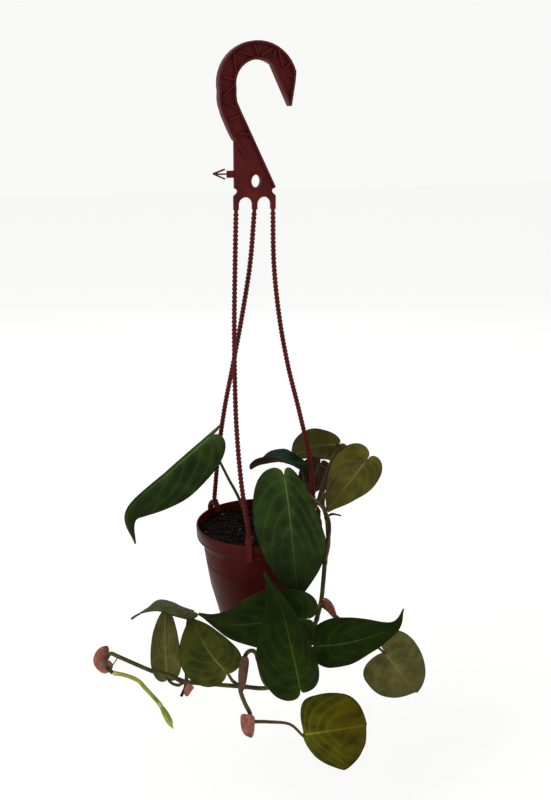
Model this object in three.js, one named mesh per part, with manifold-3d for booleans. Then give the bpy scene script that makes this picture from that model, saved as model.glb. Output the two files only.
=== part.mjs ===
import * as THREE from 'three';
import Module from 'manifold-3d';

// Potted philodendron on its moulded plastic hanger. Millimetres, +Z up.
// The origin is the point inside the crown of the hook where the part hangs.

// ---- driving dimensions -------------------------------------------------
const GAP = 0.35;
const SOCKET = 0.5;
const HOOK = { crownR: 16.5, bandR: 29.2, depth: 8, plate: 3, web: 2, flange: 1.6 };
const ARM_X = [-16.5, -2.5, 11.5];
const ARM_END_Z = -104;
const CORD_R = 1.5;
const CORD_TOP_Z = ARM_END_Z - 0.6;
const CORD_END_Z = -341;
// Cord centre lines: x and y at equal drops from the arm to the clip.
const CORD_WAY = [
  [[-16.5, 0], [-18, -1], [-20, -4.5], [-22, -11], [-24, -21.5], [-24.3, -34], [-20.8, -42.6]],
  [[-2.5, 0], [-5, 4], [-9.5, 10.6], [-14.6, 19], [-20, 27.5], [-23.7, 34.6], [-26.5, 39.3]],
  [[11.5, 0], [12.3, 0.1], [16.5, 0.5], [23.8, 1.1], [33.9, 2], [43, 2.8], [47.3, 3.3]],
];
const CLIP_ANGLES = [-26, -146, 94];
const CLIP_WIDTH = 5.4;
const RIM_R = 50;
const RIM_Z = -349;
const BASE_Z = -429;
const DRAIN = { count: 6, ring: 20, r: 2.6 };
const SOIL_TOP_Z = -356;
const BLADE_T = 0.7;

const BLADES = {
  left_high: {
    rib: [[-38, 4, -276], [-70, 6, -302], [-103, 6, -330], [-99, 3, -356]],
    half: [22, 25], lobe: [13, 9], shoulder: [0.3, 0.33], full: [0.2, 0.15], fold: [-105, 0],
  },
  teal: {
    rib: [[43, 22, -312], [20, 13, -305], [-6, 6, -304]],
    half: [17, 17], lobe: [6, 6], full: [0.7, 0.7], fold: [8, 8], roll: [84, 150],
  },
  maroon: {
    rib: [[61, 28, -317], [53, 26, -329], [41, 22, -345]],
    half: [13.5, 13], lobe: [5, 4], roll: [180, 180],
  },
  back_top: {
    rib: [[67, 3, -292], [57, 28, -301], [45, 53, -317]],
    half: [20, 21], lobe: [9, 6], full: [0.4, 0.4], fold: [-6, -6], roll: [165, 165],
  },
  back_right: {
    rib: [[83, -18, -301], [69, -18, -317], [50, -20, -339]],
    half: [18, 23], lobe: [8, 9], full: [0.3, 0.35], fold: [-4, -4], roll: [178, 178],
  },
  main: {
    rib: [[4, -50, -294], [5, -58, -316], [7, -65, -355], [10, -66, -388]],
    half: [27, 25], lobe: [9, 8], shoulder: [0.28, 0.5], square: [0.95, 0.5],
    full: [0.45, 0.4], fold: [6, 6],
  },
  wide_left: {
    rib: [[12, -75, -399], [-14, -71, -399], [-40, -59, -403], [-61, -41, -400]],
    half: [28, 24], lobe: [11, 9], shoulder: [0.24, 0.24], full: [0.02, 0.02], fold: [6, 6],
  },
  front: {
    rib: [[5, -86, -450], [-2, -90, -419], [-10, -85, -381], [-19, -72, -357]],
    half: [17, 27], lobe: [4, 10], shoulder: [0.2, 0.3], full: [0.1, 0.1], fold: [10, 4],
  },
  right: {
    rib: [[24, -69, -427], [47, -78, -423], [80, -83, -414], [88, -85, -398]],
    half: [18, 24], lobe: [6, 4], shoulder: [0.12, 0.2], full: [0, 0], fold: [8, 8],
  },
  far_right: {
    rib: [[83, -65, -445], [96, -65, -464], [112, -64, -486]],
    half: [24, 27], lobe: [18, 1], shoulder: [0.1, 0.3], full: [0.8, 1.1], fold: [4, 4],
    roll: [180, 180],
  },
  bottom: {
    rib: [[11, -77, -496], [32, -90, -488], [56, -94, -486]],
    half: [31, 37], lobe: [-1, 2.5], shoulder: [0.35, 0.4], full: [0.95, 1.2], fold: [4, 4],
    roll: [180, 180],
  },
  round_left: {
    rib: [[-45, -55, -443], [-56, -51, -427], [-67, -39, -404]],
    half: [20, 25], lobe: [5, 7], shoulder: [0.2, 0.3], full: [0.5, 0.5], fold: [5, 5],
  },
  edge_left: {
    rib: [[-65, -31, -402], [-88, -30, -393], [-110, -29, -402]],
    half: [18, 18], lobe: [5, 5], full: [0.3, 0.3], fold: [-6, -6], roll: [104, 104],
  },
  hanging: {
    rib: [[-82, -19, -461], [-82, -17, -431], [-81, -19, -402]],
    half: [12, 12], lobe: [5, 5], full: [0.6, 0.6], fold: [-8, -8], roll: [180, 180],
  },
};

// Stems: centre line, start and end radius.
const STEM_MAIN = [
  [36, 4, -369], [40, 0, -350], [44, -6, -340], [46, -10, -333], [48.5, -16, -338],
  [50, -19, -346], [50, -22, -356], [49, -25, -366], [46, -27, -377], [44, -29, -393],
  [40, -34, -411], [29, -47, -427], [21, -54, -442], [7, -55, -456], [-9, -52, -466],
  [-30, -45, -465], [-50, -37, -464], [-70, -30, -462], [-83, -26, -456], [-94, -22, -453],
  [-111, -15, -445], [-119, -12, -441], [-124, -10, -439], [-128, -9, -445],
  [-127, -9, -451], [-123, -12, -455],
];
const STEM_YOUNG = [
  [-123, -12, -455], [-114, -15, -457], [-105, -19, -461], [-100, -22, -467],
  [-95, -25, -473], [-89, -28, -482], [-81, -31, -501],
];
const STEM_SIDE = [
  [-9, -52, -466], [-15, -55, -454], [-20, -57, -433], [-25, -58, -428], [-29, -57, -432],
  [-31, -56, -445], [-33, -56, -460], [-30, -57, -472], [-26, -58, -482], [-26, -58, -489],
];

// Petioles: [blade, stem it leaves, centre line from the blade to the stem].
const PETIOLES = [
  ['left_high', 'soil', [[-32, 8, -292], [-22, 11, -314], [-12, 13, -335], [-2, 15, -368]]],
  ['teal', 'main', [[43, 13, -325], [41, 4, -333], [43, -5, -342]]],
  ['maroon', 'main', [[64, 18, -320], [57, 6, -330], [50, -4, -336], [44.5, -7, -337]]],
  ['back_top', 'main', [[61, -4, -298], [55, -8, -307], [49, -12, -318], [46, -10, -333]]],
  ['back_right', 'main', [[71, -25, -299], [60, -28, -303], [52, -28, -312], [47, -21, -326],
    [48, -15, -336]]],
  ['main', 'main', [[18, -42, -306], [33, -36, -321], [44, -31, -334], [49, -28, -350],
    [46, -27, -377]]],
  ['wide_left', 'main', [[20, -67, -399], [31, -52, -403], [40, -34, -411]]],
  ['right', 'main', [[22, -61, -434], [21, -54, -442]]],
  ['far_right', 'main', [[75, -64, -437.5], [63, -52, -430], [52, -43, -421], [40, -34, -411]]],
  ['front', 'main', [[7, -72, -456], [1, -62, -461], [-9, -52, -466]]],
  ['round_left', 'main', [[-40, -50, -451], [-36, -45, -459], [-30, -45, -465]]],
  ['edge_left', 'main', [[-67, -29, -413], [-67, -27, -427], [-68, -27, -445],
    [-69, -30, -462]]],
  ['hanging', 'main', [[-80, -23, -465], [-75, -27, -466], [-71, -30, -462]]],
  ['bottom', 'side', [[3, -68, -491], [-12, -63, -489], [-26, -58, -489]]],
];

const SHEATHS = {
  node: {
    rib: [[41, -39, -405], [45, -43, -412], [50, -45, -421]],
    half: [3.5, 3.5], lobe: [1, 1], full: [0.5, 0.5], fold: [-30, -30],
  },
  long: {
    rib: [[-31, -63, -430], [-33, -64, -443], [-34, -63, -458]],
    half: [4, 4], lobe: [1, 1], full: [0.9, 0.9], fold: [-40, -40],
  },
  square: {
    rib: [[-28, -63.5, -479], [-28.5, -64.5, -488], [-28, -64, -499]],
    half: [8, 4.5], lobe: [0, 0], full: [1, 1], fold: [-35, -35],
  },
  hairpin: {
    rib: [[-124, -5, -457], [-131, -3, -449], [-126, -4, -435]],
    half: [6.5, 6.5], lobe: [0, 0], full: [0.8, 0.8], fold: [20, 20], roll: [180, 180],
  },
  red: {
    rib: [[-66, -35, -463], [-69, -35, -467], [-71, -34, -472]],
    half: [3.5, 3.5], lobe: [0, 0], full: [0.8, 0.8], fold: [-40, -40],
  },
};

const ROOTS = {
  twig: { line: [[50, -22, -342], [53, -24, -340], [58, -29, -340]], r: [1.1, 0.7] },
  nub: { line: [[-71, -31.5, -465], [-72, -32, -469], [-74, -32, -473]], r: [0.9, 0.8] },
  thread: { line: [[-121, -14, -443], [-123.5, -14.5, -447], [-125, -14, -452]], r: [0.5, 0.5] },
};

// ---- finishes -----------------------------------------------------------
function finish(name, color, roughness) {
  const m = new THREE.MeshStandardMaterial({ color, roughness, metalness: 0 });
  m.name = name;
  return m;
}
const MAT = {
  plastic: finish('hanger_and_pot_plastic', 0x4c2f27, 0.5),
  soil: finish('potting_soil', 0x1c1612, 0.95),
  dark: finish('leaf_velvet_dark', 0x394a2b, 0.7),
  teal: finish('leaf_velvet_teal', 0x2a4438, 0.7),
  olive: finish('leaf_underside_olive', 0x5c5e2a, 0.7),
  maroon: finish('leaf_underside_maroon', 0x4a2c22, 0.7),
  young: finish('leaf_young_yellow', 0x5c6012, 0.65),
  stem: finish('stem_skin', 0x48461f, 0.6),
  shoot: finish('shoot_skin', 0x6f7a2e, 0.5),
  petiole: finish('petiole_skin', 0x5a4c30, 0.6),
  sheath: finish('dry_sheath', 0x7d4a34, 0.75),
  root: finish('root_bark', 0x2a201a, 0.85),
};
const BLADE_FINISH = {
  left_high: 'dark', teal: 'teal', maroon: 'maroon', back_top: 'olive', back_right: 'olive',
  main: 'dark', wide_left: 'dark', front: 'dark', right: 'dark', far_right: 'olive',
  bottom: 'young', round_left: 'dark', edge_left: 'dark', hanging: 'maroon',
};

// ---- solid helpers ------------------------------------------------------
const wasm = await Module();
wasm.setup();
const { Manifold, CrossSection, Mesh: SolidMesh } = wasm;

function vec(p) {
  return new THREE.Vector3(p[0], p[1], p[2]);
}

function toSolid(geometry) {
  const pos = geometry.attributes.position;
  const index = geometry.index;
  const seen = new Map();
  const verts = [];
  const remap = [];
  for (let i = 0; i < pos.count; i += 1) {
    const p = [pos.getX(i), pos.getY(i), pos.getZ(i)];
    const key = p.map((c) => Math.round(c * 2000)).join(',');
    if (!seen.has(key)) {
      seen.set(key, verts.length / 3);
      verts.push(...p);
    }
    remap.push(seen.get(key));
  }
  const tris = [];
  const count = index ? index.count : pos.count;
  for (let i = 0; i < count; i += 3) {
    const t = [0, 1, 2].map((k) => remap[index ? index.getX(i + k) : i + k]);
    if (t[0] !== t[1] && t[1] !== t[2] && t[2] !== t[0]) tris.push(...t);
  }
  const mesh = new SolidMesh({
    numProp: 3,
    vertProperties: new Float32Array(verts),
    triVerts: new Uint32Array(tris),
  });
  mesh.merge();
  return new Manifold(mesh);
}

function fromSolid(solid) {
  const out = solid.getMesh();
  const geometry = new THREE.BufferGeometry();
  const props = out.vertProperties;
  const pos = new Float32Array(out.numVert * 3);
  for (let i = 0; i < out.numVert; i += 1) {
    for (let k = 0; k < 3; k += 1) pos[i * 3 + k] = props[i * out.numProp + k];
  }
  geometry.setAttribute('position', new THREE.BufferAttribute(pos, 3));
  geometry.setIndex(new THREE.BufferAttribute(new Uint32Array(out.triVerts), 1));
  return geometry.toNonIndexed();
}

function lineOf(points) {
  return new THREE.CatmullRomCurve3(points.map(vec), false, 'catmullrom', 0.5);
}

// A round rod along a line; grow adds clearance for a socket.
function rod(points, r0, r1, sides, steps, grow = 0, swell = null) {
  const line = lineOf(points);
  const frames = line.computeFrenetFrames(steps, false);
  const geometry = new THREE.CylinderGeometry(1, 1, 1, sides, steps, false);
  const pos = geometry.attributes.position;
  for (let i = 0; i < pos.count; i += 1) {
    const t = pos.getY(i) + 0.5;
    const k = Math.round(t * steps);
    const c = line.getPointAt(Math.min(Math.max(t, 0), 1));
    const r = (swell ? swell(t) : r0 + (r1 - r0) * t) + grow;
    c.addScaledVector(frames.normals[k], pos.getX(i) * r);
    c.addScaledVector(frames.binormals[k], -pos.getZ(i) * r);
    if (grow > 0 && (k === 0 || k === steps)) {
      c.addScaledVector(frames.tangents[k], k === 0 ? -grow : grow);
    }
    pos.setXYZ(i, c.x, c.y, c.z);
  }
  return geometry;
}

// The part of a rod left outside the stem it grows from.
function trimmed(solid, stem) {
  const pieces = solid.subtract(stem).decompose();
  pieces.sort((a, b) => b.volume() - a.volume());
  return pieces[0];
}

// ---- leaf blade ---------------------------------------------------------
const FRONT = vec([-0.309, -0.951, 0]);

function cubic(a, b, c, d, t) {
  const s = 1 - t;
  return [0, 1].map((k) => s * s * s * a[k] + 3 * s * s * t * b[k]
    + 3 * s * t * t * c[k] + t * t * t * d[k]);
}

// Margin point (across, along) of one half for m from the base (0) to the tip (1).
function margin(spec, side, length, m) {
  const w = spec.half[side];
  const lobe = spec.lobe[side];
  const shoulder = (spec.shoulder ?? [0.22, 0.22])[side] * length;
  const full = (spec.full ?? [0.25, 0.25])[side];
  const square = (spec.square ?? [0.95, 0.95])[side];
  const turn = 0.42;
  const slit = Math.max(0.8, 0.1 * w);
  if (m < turn) {
    return cubic([0.8, -lobe / slit], [slit, -1.25 * lobe], [square * w, -1.3 * lobe],
      [w, shoulder], m / turn);
  }
  const rest = length - shoulder;
  return cubic([w, shoulder], [1.02 * w, shoulder + (0.33 + 0.2 * full) * rest],
    [(0.08 + 0.7 * full) * w, (0.78 + 0.2 * full) * length], [0.6, length],
    (m - turn) / (1 - turn));
}

// Point of the blade, lifted along its normal: m runs base to tip, b margin to margin.
function bladePoint(spec, line, length, m, b, up) {
  const side = b >= 0 ? 0 : 1;
  const sign = b >= 0 ? 1 : -1;
  const a = Math.abs(b);
  const [ex, ey] = margin(spec, side, length, m);
  const from = length * m ** 1.7;
  const cx = 0.5 * ex;
  const cy = (from + ey) / 2 - 0.35 * (m - 0.2) * ex;
  const x = 2 * (1 - a) * a * cx + a * a * ex;
  const y = (1 - a) * (1 - a) * from + 2 * (1 - a) * a * cy + a * a * ey;
  const s = Math.min(Math.max(y / length, 0), 1);
  const p = line.getPointAt(s);
  const t = line.getTangentAt(s);
  if (y < 0) p.addScaledVector(t, y);
  const n0 = FRONT.clone().addScaledVector(t, -FRONT.dot(t)).normalize();
  const roll = spec.roll ?? [0, 0];
  const r = THREE.MathUtils.degToRad(roll[0] + (roll[1] - roll[0]) * s * s);
  const n = n0.clone().multiplyScalar(Math.cos(r));
  n.addScaledVector(new THREE.Vector3().crossVectors(t, n0), Math.sin(r));
  const across = new THREE.Vector3().crossVectors(t, n);
  const fold = (spec.fold ?? [10, 10])[side];
  const q = THREE.MathUtils.degToRad(fold) * (1 - Math.exp(-x / 4));
  const lift = x * Math.sin(q) + a * a * Math.sin(9 * m + (sign > 0 ? 2 : 0));
  p.addScaledVector(across, sign * (x * Math.cos(q) - up * Math.sin(q)));
  p.addScaledVector(n, lift + up * Math.cos(q));
  return p;
}

function blade(spec, along, across, thick) {
  const line = lineOf(spec.rib);
  const length = line.getLength();
  const geometry = new THREE.BoxGeometry(1, 1, 1, 2 * across, along, 1);
  const pos = geometry.attributes.position;
  for (let i = 0; i < pos.count; i += 1) {
    const b = pos.getX(i) * 2;
    const m = pos.getY(i) + 0.5;
    const p = bladePoint(spec, line, length, m, b, pos.getZ(i) * thick);
    pos.setXYZ(i, p.x, p.y, p.z);
  }
  return geometry;
}

// Where a petiole meets the underside of its blade.
function seat(spec, away) {
  const line = lineOf(spec.rib);
  const p = line.getPointAt(0);
  const t = line.getTangentAt(0);
  const n0 = FRONT.clone().addScaledVector(t, -FRONT.dot(t)).normalize();
  const r = THREE.MathUtils.degToRad((spec.roll ?? [0, 0])[0]);
  const n = n0.clone().multiplyScalar(Math.cos(r));
  n.addScaledVector(new THREE.Vector3().crossVectors(t, n0), Math.sin(r));
  p.addScaledVector(n, -away);
  return [p.x, p.y, p.z];
}

// ---- hook and plate -----------------------------------------------------
function arc(cx, cz, r, from, to, steps) {
  const pts = [];
  for (let i = 0; i <= steps; i += 1) {
    const a = THREE.MathUtils.degToRad(from + ((to - from) * i) / steps);
    pts.push([cx + r * Math.cos(a), cz + r * Math.sin(a)]);
  }
  return pts;
}

function hookOutline() {
  return [
    ...arc(0, -HOOK.crownR, HOOK.bandR, 17, 190, 20),
    [-29, -26.5], [-28.4, -31], [-26, -38.6], [-21.6, -48.6], [-17.8, -55.8],
    [-17.8, -88.6], [-16.3, -89.2], [-15.5, -90.4], [-15.7, -91.8], [-16.8, -92.8],
    [-18.3, -94.3], [ARM_X[0] - 1.8, ARM_END_Z], [ARM_X[0] + 1.8, ARM_END_Z],
    ...arc(-9.5, -100.2, 5.2, 180, 0, 10),
    [ARM_X[1] - 1.8, ARM_END_Z], [ARM_X[1] + 1.8, ARM_END_Z],
    ...arc(4.5, -100.2, 5.2, 180, 0, 10),
    [ARM_X[2] - 1.8, ARM_END_Z], [ARM_X[2] + 1.8, ARM_END_Z],
    [13.3, -94.3], [11.8, -92.8], [10.7, -91.8], [10.5, -90.4], [11.3, -89.2],
    [12.9, -88.6], [0.5, -62.9], [-8.1, -44.9], [-13.2, -34.4], [-15.8, -28.6],
    [-16.4, -24],
    ...arc(0, -HOOK.crownR, HOOK.crownR, 190, 53, 15),
    [23.3, -31.6], [24.6, -31.4], [27.3, -14.9],
  ];
}

const RIBS = [
  [[-3, 10], [0, 2.6]], [[11, 8], [2, 2.4]], [[-15, 5], [-4, 2.4]], [[-18, 3], [-16, -11]],
  [[-26, -12], [-16, -14]], [[-17, -17], [-26, -25]], [[-25, -29], [-15, -33]],
  [[13, 7], [11, 1]], [[15, 6.5], [18, -5]], [[24, -2], [19, -6]], [[21, -10], [28, -13]],
  [[-22, -41], [-12, -37]], [[-15, -50], [-5, -51]],
];

const BARB = [
  [[-33.2, -78], [-24.6, -75]], [[-33.2, -78], [-24.6, -81.8]], [[-33.2, -78.2], [-22, -78.4]],
];

function slab(section, depth) {
  return section.extrude(depth).rotate([90, 0, 0]).translate([0, depth / 2, 0]);
}

function ribSection([a, b], width) {
  const dx = b[0] - a[0];
  const dz = b[1] - a[1];
  const len = Math.hypot(dx, dz);
  const turn = THREE.MathUtils.radToDeg(Math.atan2(dz, dx));
  return CrossSection.square([len, width], true).rotate(turn)
    .translate([(a[0] + b[0]) / 2, (a[1] + b[1]) / 2]);
}

function hanger() {
  const whole = new CrossSection([hookOutline()], 'NonZero');
  const top = whole.intersect(CrossSection.square([90, 76]).translate([-45, -55]));
  const bottom = whole.subtract(CrossSection.square([90, 74]).translate([-45, -53]));
  const inner = whole.offset(-HOOK.flange, 'Miter', 2);
  const banded = CrossSection.square([90, 76]).translate([-45, -55])
    .add(CrossSection.square([26, 36]).translate([-6, -88]));
  const web = slab(top, HOOK.web);
  const flanges = slab(whole.subtract(inner).intersect(banded), HOOK.depth);
  let ribs = ribSection([[-17.2, -54.6], [-9.2, -67.2]], 1.6);
  RIBS.forEach((r) => {
    ribs = ribs.add(ribSection(r, 1.1));
  });
  const truss = slab(ribs.intersect(whole), HOOK.depth - 1);
  const hole = CrossSection.circle(1, 20).scale([3.6, 4.65]).translate([-1.7, -83.7]);
  const boss = CrossSection.circle(1, 20).scale([5.2, 6.2]).translate([-1.7, -83.7]);
  let barb = CrossSection.square([6.2, 5]).translate([-23.2, -81]);
  BARB.forEach((r) => {
    barb = barb.add(ribSection(r, 1.1));
  });
  const plate = slab(bottom.subtract(hole), HOOK.plate);
  const collar = slab(boss.intersect(bottom).subtract(hole), HOOK.plate + 1.6);
  const tag = slab(barb, 1.8);
  const arms = ARM_X.map((x) => slab(
    CrossSection.square([3.4, 6]).translate([x - 1.7, ARM_END_Z]), HOOK.plate,
  ));
  return Manifold.union([web, flanges, truss, plate, collar, tag, ...arms]);
}

// ---- cords and clips ----------------------------------------------------
function cordLine(i) {
  const last = CORD_WAY[i].length - 1;
  const drop = (CORD_END_Z - CORD_TOP_Z) / last;
  return CORD_WAY[i].map(([x, y], k) => [x, y, CORD_TOP_Z + drop * k]);
}

function clip(i) {
  const top = CORD_END_Z - 0.7;
  const outline = new CrossSection([[
    [45.9, top], [45.3, -343.5], [43.6, -346.5], [42.4, -351.4], [43.8, -351.7],
    [45, -347.4], [46.4, -345.4], [47.6, -344.6], [48.9, -345], [50.5, -346.8],
    [50.5, -359.75], [48.3, -359.75], [48.3, -360.6], [51.9, -360.6], [51.9, -346.2],
    [50.6, -343.4], [48.9, top],
  ]], 'NonZero');
  const solid = outline.extrude(CLIP_WIDTH).rotate([90, 0, 0])
    .translate([0, CLIP_WIDTH / 2, 0]).rotate([0, 0, CLIP_ANGLES[i] - 90]);
  return solid;
}

// ---- pot and soil -------------------------------------------------------
function turned(profile, segments) {
  const points = profile.map(([r, z]) => new THREE.Vector2(r, z));
  points.push(points[0].clone());
  const geometry = new THREE.LatheGeometry(points, segments);
  geometry.rotateX(Math.PI / 2);
  const solid = toSolid(geometry);
  return solid.volume() < 0 ? toSolid(flipped(geometry)) : solid;
}

function flipped(geometry) {
  const out = geometry.toNonIndexed();
  const pos = out.attributes.position;
  for (let i = 0; i < pos.count; i += 3) {
    const a = [pos.getX(i), pos.getY(i), pos.getZ(i)];
    pos.setXYZ(i, pos.getX(i + 1), pos.getY(i + 1), pos.getZ(i + 1));
    pos.setXYZ(i + 1, ...a);
  }
  return out;
}

function pot() {
  const body = turned([
    [0, BASE_Z], [30.5, BASE_Z], [32.2, -427.6], [35.1, -415.6], [39.3, -400],
    [42.2, -382.5], [45.45, -359.4], [49.3, -359.4], [49.9, -358.6], [RIM_R, -350],
    [49.6, RIM_Z], [48.8, RIM_Z], [48.5, -350], [48.4, -357.4], [44.1, -360],
    [41, -382.5], [38.1, -400], [33.9, -415.6], [30.9, -427.4], [0, -427.6],
  ], 40);
  const drains = [];
  for (let k = 0; k < DRAIN.count; k += 1) {
    const a = (k / DRAIN.count) * Math.PI * 2;
    drains.push(Manifold.cylinder(6, DRAIN.r, DRAIN.r, 14)
      .translate([DRAIN.ring * Math.cos(a), DRAIN.ring * Math.sin(a), BASE_Z - 2]));
  }
  return Manifold.difference([body, ...drains]);
}

function soil(sockets) {
  const body = turned([
    [0, SOIL_TOP_Z + 1.5], [16, SOIL_TOP_Z + 1.4], [34, SOIL_TOP_Z + 1.3],
    [47.9, SOIL_TOP_Z + 1.1], [47.8, -356.9], [43.5, -359.5], [40.5, -382.5], [37.6, -400],
    [33.4, -415.6], [30.4, -427], [0, -427.2],
  ], 32);
  return Manifold.difference([body, ...sockets]);
}

// ---- assembly -----------------------------------------------------------
function add(group, name, geometry, material) {
  geometry.computeVertexNormals();
  const mesh = new THREE.Mesh(geometry, material);
  mesh.name = name;
  group.add(mesh);
}

const group = new THREE.Group();
group.name = 'potted_philodendron';

const budR = (t) => {
  if (t > 0.99) return 0.5;
  return t < 0.72 ? 1.65 : 1.65 + 1.1 * Math.sin(((t - 0.72) / 0.27) * Math.PI);
};
const mainGrown = toSolid(rod(STEM_MAIN, 1.9, 1.6, 8, 44, SOCKET));
const sideGrown = toSolid(rod(STEM_SIDE, 1.7, 1.7, 8, 16, SOCKET));
const sockets = [mainGrown];

add(group, 'pot', fromSolid(pot()), MAT.plastic);
add(group, 'hanger_hook', fromSolid(hanger()), MAT.plastic);
['front', 'left', 'right'].forEach((name, i) => {
  add(group, `cord_${name}`, rod(cordLine(i), CORD_R, CORD_R, 8, 18), MAT.plastic);
  add(group, `clip_${name}`, fromSolid(clip(i)), MAT.plastic);
});

add(group, 'stem_main', rod(STEM_MAIN, 1.9, 1.6, 8, 44), MAT.stem);
const side = trimmed(toSolid(rod(STEM_SIDE, 1.7, 1.7, 8, 16)), mainGrown);
add(group, 'stem_side', fromSolid(side), MAT.stem);
const young = trimmed(toSolid(rod(STEM_YOUNG, 1.6, 1.6, 8, 18, 0, budR)), mainGrown);
add(group, 'shoot_young', fromSolid(young), MAT.shoot);

PETIOLES.forEach(([name, from, line]) => {
  const path = [seat(BLADES[name], 2), ...line];
  const grown = rod(path, 1.1, 1.4, 6, 9, SOCKET);
  let solid = toSolid(rod(path, 1.1, 1.4, 6, 9));
  if (from === 'soil') sockets.push(toSolid(grown));
  if (from === 'main') solid = trimmed(solid, mainGrown);
  if (from === 'side') solid = trimmed(solid, sideGrown);
  add(group, `petiole_${name}`, fromSolid(solid), MAT.petiole);
});
Object.entries(BLADES).forEach(([name, spec]) => {
  add(group, `blade_${name}`, blade(spec, 9, 3, BLADE_T), MAT[BLADE_FINISH[name]]);
});
Object.entries(SHEATHS).forEach(([name, spec]) => {
  add(group, `sheath_${name}`, blade(spec, 5, 2, 0.6), MAT.sheath);
});
Object.entries(ROOTS).forEach(([name, spec]) => {
  add(group, `root_${name}`, rod(spec.line, spec.r[0], spec.r[1], 6, 4), MAT.root);
});
add(group, 'soil', fromSolid(soil(sockets)), MAT.soil);

export default group;
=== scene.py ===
"""Potted philodendron on its moulded plastic hanger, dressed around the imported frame.

The row frame has its origin inside the crown of the hook, +Z up, and the hook flat
in the XZ plane. Sizes below are in millimetres and become metres in the meshes.
"""

import logging
import math
import random
from bisect import bisect_right
from dataclasses import dataclass, field
from enum import Enum
from typing import Any, Callable, ClassVar, Sequence

import bmesh
import bpy
from bmesh.types import BMesh
from bpy.types import ID, Material, NodeSocket, NodeTree, Object
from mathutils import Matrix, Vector, noise


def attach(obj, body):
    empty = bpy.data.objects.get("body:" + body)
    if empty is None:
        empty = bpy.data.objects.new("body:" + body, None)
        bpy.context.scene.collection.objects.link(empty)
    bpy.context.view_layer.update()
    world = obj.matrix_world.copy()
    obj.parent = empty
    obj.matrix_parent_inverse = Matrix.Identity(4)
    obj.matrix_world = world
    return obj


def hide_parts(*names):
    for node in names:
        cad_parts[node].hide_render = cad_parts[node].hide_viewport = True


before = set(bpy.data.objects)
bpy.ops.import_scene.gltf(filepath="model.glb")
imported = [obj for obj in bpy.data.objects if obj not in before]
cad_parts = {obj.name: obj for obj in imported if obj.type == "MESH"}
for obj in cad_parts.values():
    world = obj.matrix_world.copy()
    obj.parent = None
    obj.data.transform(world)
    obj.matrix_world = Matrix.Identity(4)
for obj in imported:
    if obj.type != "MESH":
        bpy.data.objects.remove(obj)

LOG = logging.getLogger("potted_philodendron")
MM = 0.001
# The level direction that the open side of the plant faces.
FRONT = Vector((-0.309, -0.951, 0.0))
# Points closer than this are one, in millimetres.
WELD = 0.003

Point = tuple[float, float, float]
Pair = tuple[float, float]


# ---- lines ----


class Line:
    """A smooth line through a few points, measured along its own length."""

    def __init__(self, points: Sequence[Point], steps: int = 24) -> None:
        """Samples the line.

        Args:
            points: Points of the line in millimetres.
            steps: Samples between two points.
        """
        given = [Vector(p) for p in points]
        ends = [given[0] * 2 - given[1], *given, given[-1] * 2 - given[-2]]
        self.samples = [
            self._between(*ends[k : k + 4], i / steps)
            for k in range(len(given) - 1)
            for i in range(steps)
        ]
        self.samples.append(given[-1].copy())
        self.reach = [0.0]
        for p, q in zip(self.samples, self.samples[1:]):
            self.reach.append(self.reach[-1] + (q - p).length)
        self.length = self.reach[-1]

    @staticmethod
    def _between(a: Vector, b: Vector, c: Vector, d: Vector, w: float) -> Vector:
        """The point a share w of the way from b to c."""
        return 0.5 * (
            2 * b
            + (c - a) * w
            + (2 * a - 5 * b + 4 * c - d) * w * w
            + (3 * b - a - 3 * c + d) * w**3
        )

    def _place(self, share: float) -> tuple[int, float]:
        """The sample before a share of the length, and how far past it."""
        goal = min(max(share, 0.0), 1.0) * self.length
        low = bisect_right(self.reach, goal, 1, len(self.reach) - 1) - 1
        span = self.reach[low + 1] - self.reach[low]
        return low, (goal - self.reach[low]) / span if span else 0.0

    def at(self, share: float) -> Vector:
        """The point at a share of the length, in millimetres."""
        k, w = self._place(share)
        return self.samples[k].lerp(self.samples[k + 1], w)

    def tangent(self, share: float) -> Vector:
        """The unit direction of the line at a share of the length."""
        k, w = self._place(share)
        last = len(self.samples) - 1
        before = self.samples[min(k + 1, last)] - self.samples[max(k - 1, 0)]
        after = self.samples[min(k + 2, last)] - self.samples[k]
        return before.normalized().lerp(after.normalized(), w).normalized()

    def frames(self, steps: int) -> list[tuple[Vector, Vector, Vector]]:
        """Untwisted rings along the line.

        Args:
            steps: Number of equal steps.

        Returns:
            For each ring, its centre and the two unit directions across it.
        """
        out = []
        across = Vector((0.0, 0.0, 0.0))
        for i in range(steps + 1):
            t = self.tangent(i / steps)
            if i == 0:
                lead = Vector((0, 0, 1)) if abs(t.z) < 0.8 else Vector((1, 0, 0))
                across = t.cross(lead).normalized()
            else:
                across = (across - t * across.dot(t)).normalized()
            out.append((self.at(i / steps), across, t.cross(across)))
        return out


def cubic(a: Pair, b: Pair, c: Pair, d: Pair, t: float) -> Pair:
    """The point of a cubic curve in the plane at t."""
    s = 1 - t
    w = (s * s * s, 3 * s * s * t, 3 * s * t * t, t * t * t)
    x, y = (sum(k * p[i] for k, p in zip(w, (a, b, c, d))) for i in (0, 1))
    return x, y


# ---- mesh tools ----


def placed(name: str, data: ID) -> Object:
    """A new object in the scene."""
    obj = bpy.data.objects.new(name, data)
    bpy.context.scene.collection.objects.link(obj)
    return obj


def meshed(bm: BMesh, name: str, materials: Sequence[Material] = ()) -> Object:
    """A new object with a bmesh, which is freed, and its materials in order."""
    mesh = bpy.data.meshes.new(name)
    bm.to_mesh(mesh)
    bm.free()
    for material in materials:
        mesh.materials.append(material)
    return placed(name, mesh)


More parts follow.
